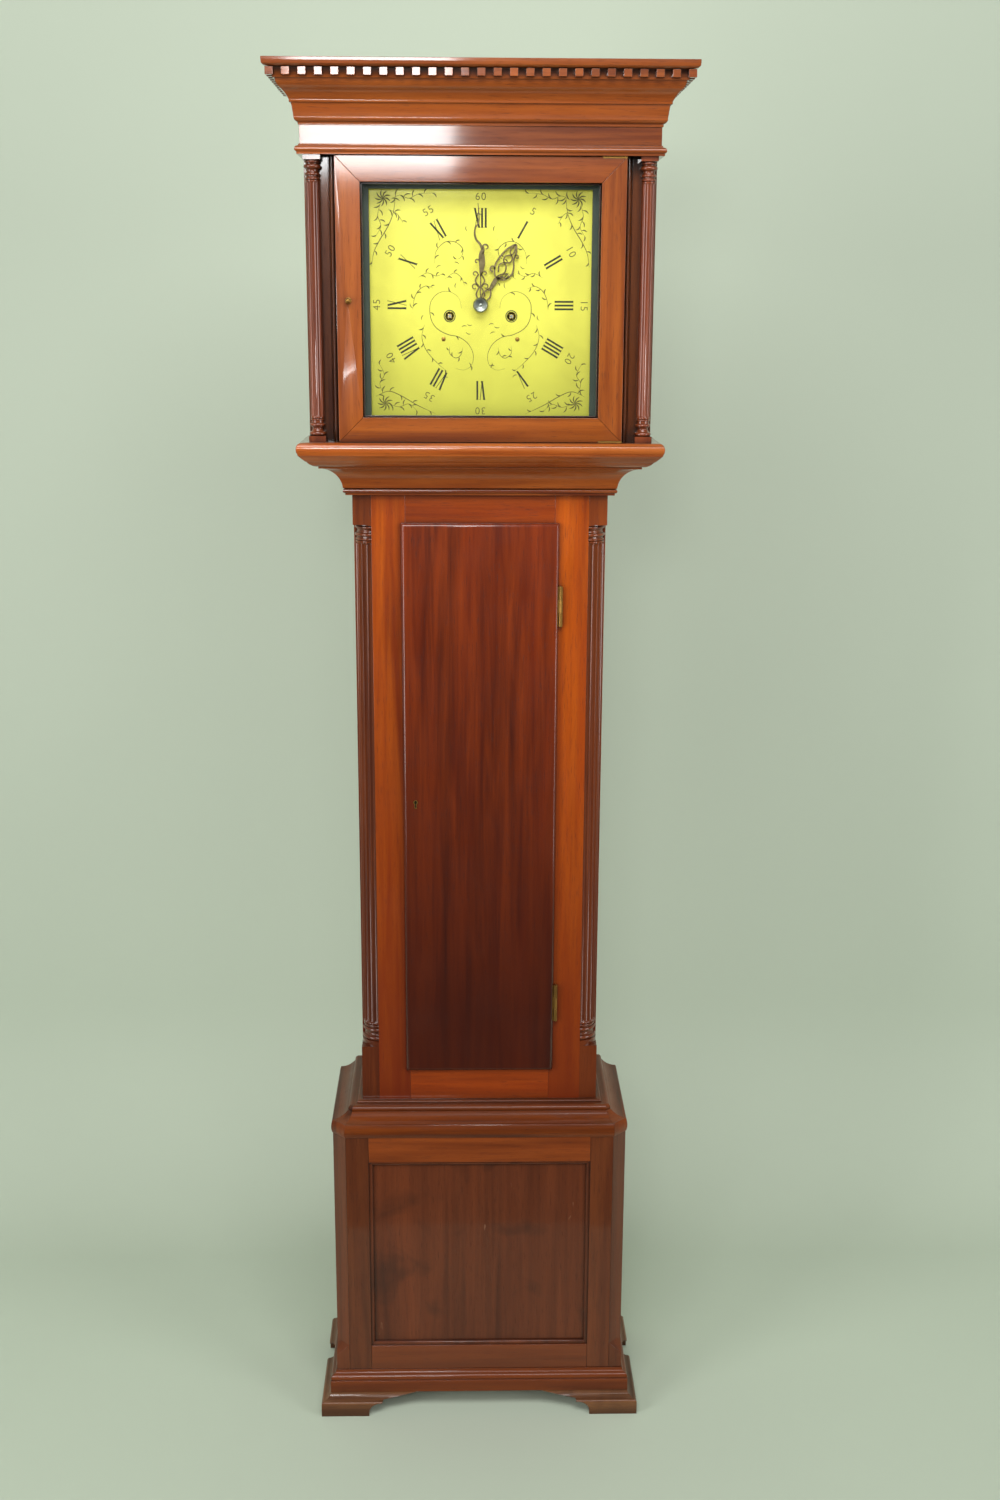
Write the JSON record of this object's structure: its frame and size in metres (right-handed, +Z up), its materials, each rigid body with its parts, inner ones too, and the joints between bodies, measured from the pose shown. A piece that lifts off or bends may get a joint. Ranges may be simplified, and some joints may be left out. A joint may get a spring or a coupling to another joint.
{
  "type": "tall case clock",
  "caption": "Antique tall case clock in polished mahogany with a dentilled hood, square brass dial, fluted columns, sunk plinth panel and bracket feet.",
  "frame": {"origin": "On the floor, at the middle of the clock's width and of its depth", "axes": "+X to the clock's own left as a person facing it sees right, +Y to the wall behind, +Z up"},
  "size_m": [0.56, 0.264, 2.004],
  "materials": {
    "polished_mahogany": "french polish, glossy",
    "dark_mahogany": "french polish, glossy",
    "secondary_oak": "unfinished",
    "brass": "polished",
    "dial_brass": "satin, engraved",
    "blued_steel": "satin",
    "steel": "satin",
    "glass": "clear",
    "gut": "twisted",
    "painted_mask": "matt"
  },
  "bodies": {
    "case": {"backboard": "secondary_oak", "trunk_sides": "polished_mahogany", "trunk_frame": "polished_mahogany", "quarter_columns": "polished_mahogany", "throat_moulding": "polished_mahogany", "seat_board": "secondary_oak", "plinth_frame": "polished_mahogany", "plinth_panel": "dark_mahogany", "plinth_sides": "polished_mahogany", "plinth_moulding": "polished_mahogany", "base_moulding": "polished_mahogany", "bracket_feet": "polished_mahogany", "bottom_board": "secondary_oak", "trunk_hinges_case": "brass", "movement_plates": "brass", "movement_pillars": "brass", "movement_cocks": "brass", "bell": "brass", "dial_plate": "dial_brass", "line_tops": "gut"},
    "hood": {"hood_base": "polished_mahogany", "hood_sides": "polished_mahogany", "hood_posts": "polished_mahogany", "hood_columns": "polished_mahogany", "dial_mask": "painted_mask", "hood_frieze": "polished_mahogany", "cornice": "polished_mahogany", "dentils": "polished_mahogany", "hood_top": "secondary_oak"},
    "hood_door": {"hood_door_frame": "polished_mahogany", "hood_glass": "glass", "hood_door_knob": "brass", "hood_door_hinges": "brass"},
    "trunk_door": {"trunk_door": "dark_mahogany", "trunk_hinges_door": "brass", "trunk_lock": "brass"},
    "lock_bolt": {"lock_bolt": "steel"},
    "minute_hand": {"minute_hand": "blued_steel", "cannon_wheel": "brass"},
    "hour_hand": {"hour_hand": "blued_steel", "hour_wheel": "brass"},
    "minute_wheel": {"minute_wheel": "brass"},
    "centre_wheel": {"centre_wheel": "brass"},
    "third_wheel": {"third_wheel": "brass"},
    "escape_wheel": {"escape_wheel": "brass"},
    "anchor": {"anchor": "steel"},
    "pendulum": {"pendulum_rod": "steel", "pendulum_bob": "brass"},
    "going_great_wheel": {"going_great_wheel": "brass"},
    "going_barrel": {"going_barrel": "brass"},
    "strike_great_wheel": {"strike_great_wheel": "brass"},
    "strike_barrel": {"strike_barrel": "brass"},
    "pin_wheel": {"pin_wheel": "brass"},
    "hammer": {"hammer": "steel"},
    "going_weight": {"going_weight": "brass", "going_line": "gut"},
    "strike_weight": {"strike_weight": "brass", "strike_line": "gut"},
    "going_pulley": {"going_pulley": "brass"},
    "strike_pulley": {"strike_pulley": "brass"}
  },
  "joints": [
    {"name": "hood_slide", "type": "slide", "parent": "case", "child": "hood", "axis": [0, -1, 0], "range_m": [0, 0.24]},
    {"name": "hood_door_hinge", "type": "hinge", "parent": "hood", "child": "hood_door", "pos_m": [0.189, -0.083, 1.704], "axis": [0, 0, 1], "range_deg": [0, 100]},
    {"name": "trunk_door_hinge", "type": "hinge", "parent": "case", "child": "trunk_door", "pos_m": [0.1154, -0.037, 0.98275], "axis": [0, 0, 1], "range_deg": [0, 105]},
    {"name": "lock_bolt_slide", "type": "slide", "parent": "trunk_door", "child": "lock_bolt", "axis": [-1, 0, 0], "range_m": [0, 0.006]},
    {"name": "minute_hand_turn", "type": "hinge", "parent": "case", "child": "minute_hand", "pos_m": [0, -0.03, 1.7], "axis": [0, 1, 0], "continuous": true},
    {"name": "hour_hand_turn", "type": "hinge", "parent": "case", "child": "hour_hand", "pos_m": [0, -0.03, 1.7], "axis": [0, 1, 0], "continuous": true},
    {"name": "minute_wheel_turn", "type": "hinge", "parent": "case", "child": "minute_wheel", "pos_m": [0, -0.018, 1.6712], "axis": [0, 1, 0], "continuous": true},
    {"name": "centre_wheel_turn", "type": "hinge", "parent": "case", "child": "centre_wheel", "pos_m": [0, 0.02, 1.7], "axis": [0, 1, 0], "continuous": true},
    {"name": "going_great_wheel_turn", "type": "hinge", "parent": "case", "child": "going_great_wheel", "pos_m": [0.042, -0.0025, 1.6855], "axis": [0, 1, 0], "continuous": true},
    {"name": "third_wheel_turn", "type": "hinge", "parent": "case", "child": "third_wheel", "pos_m": [0.00966, 0.02, 1.72175], "axis": [0, 1, 0], "continuous": true},
    {"name": "escape_wheel_turn", "type": "hinge", "parent": "case", "child": "escape_wheel", "pos_m": [0, 0.02, 1.738], "axis": [0, 1, 0], "continuous": true},
    {"name": "pendulum_swing", "type": "hinge", "parent": "case", "child": "pendulum", "pos_m": [0, 0.072, 1.76], "axis": [0, 1, 0], "range_deg": [-2.5, 2.5]},
    {"name": "anchor_rock", "type": "hinge", "parent": "case", "child": "anchor", "pos_m": [0, 0.04, 1.76], "axis": [0, 1, 0], "range_deg": [-2.5, 2.5]},
    {"name": "going_weight_run", "type": "slide", "parent": "case", "child": "going_weight", "axis": [0, 0, 1], "range_m": [0, 1.12], "deforming": ["going_line"]},
    {"name": "going_barrel_turn", "type": "hinge", "parent": "case", "child": "going_barrel", "pos_m": [0.042, 0.014, 1.6855], "axis": [0, 1, 0], "range_deg": [0, 5700]},
    {"name": "going_pulley_turn", "type": "hinge", "parent": "going_weight", "child": "going_pulley", "pos_m": [0.0392, 0.02, 0.414], "axis": [0, 1, 0], "range_deg": [0, 3300]},
    {"name": "strike_weight_run", "type": "slide", "parent": "case", "child": "strike_weight", "axis": [0, 0, 1], "range_m": [0, 1.12], "deforming": ["strike_line"]},
    {"name": "strike_barrel_turn", "type": "hinge", "parent": "case", "child": "strike_barrel", "pos_m": [-0.042, 0.014, 1.6855], "axis": [0, 1, 0], "range_deg": [0, 5700]},
    {"name": "strike_pulley_turn", "type": "hinge", "parent": "strike_weight", "child": "strike_pulley", "pos_m": [-0.0448, 0.02, 0.414], "axis": [0, 1, 0], "range_deg": [0, 3300]},
    {"name": "strike_great_wheel_turn", "type": "hinge", "parent": "case", "child": "strike_great_wheel", "pos_m": [-0.042, -0.0025, 1.6855], "axis": [0, 1, 0], "continuous": true},
    {"name": "pin_wheel_turn", "type": "hinge", "parent": "case", "child": "pin_wheel", "pos_m": [-0.033, 0.02, 1.72355], "axis": [0, 1, 0], "continuous": true},
    {"name": "hammer_rock", "type": "hinge", "parent": "case", "child": "hammer", "pos_m": [-0.062, 0.02, 1.75], "axis": [0, 1, 0], "range_deg": [-8, 0]}
  ],
  "couplings": [
    {"joint": "hour_hand_turn", "follows": "minute_hand_turn", "ratio": 0.083333},
    {"joint": "minute_wheel_turn", "follows": "minute_hand_turn", "ratio": -1},
    {"joint": "centre_wheel_turn", "follows": "minute_hand_turn", "ratio": 1},
    {"joint": "going_great_wheel_turn", "follows": "minute_hand_turn", "ratio": -0.083333},
    {"joint": "third_wheel_turn", "follows": "minute_hand_turn", "ratio": -7.5},
    {"joint": "escape_wheel_turn", "follows": "minute_hand_turn", "ratio": 60},
    {"joint": "anchor_rock", "follows": "pendulum_swing", "ratio": 1},
    {"joint": "going_barrel_turn", "follows": "going_weight_run", "rad_per_m": 87.719},
    {"joint": "going_pulley_turn", "follows": "going_weight_run", "rad_per_m": 50},
    {"joint": "strike_barrel_turn", "follows": "strike_weight_run", "rad_per_m": 87.719},
    {"joint": "strike_pulley_turn", "follows": "strike_weight_run", "rad_per_m": 50},
    {"joint": "pin_wheel_turn", "follows": "strike_great_wheel_turn", "ratio": -10.5}
  ]
}
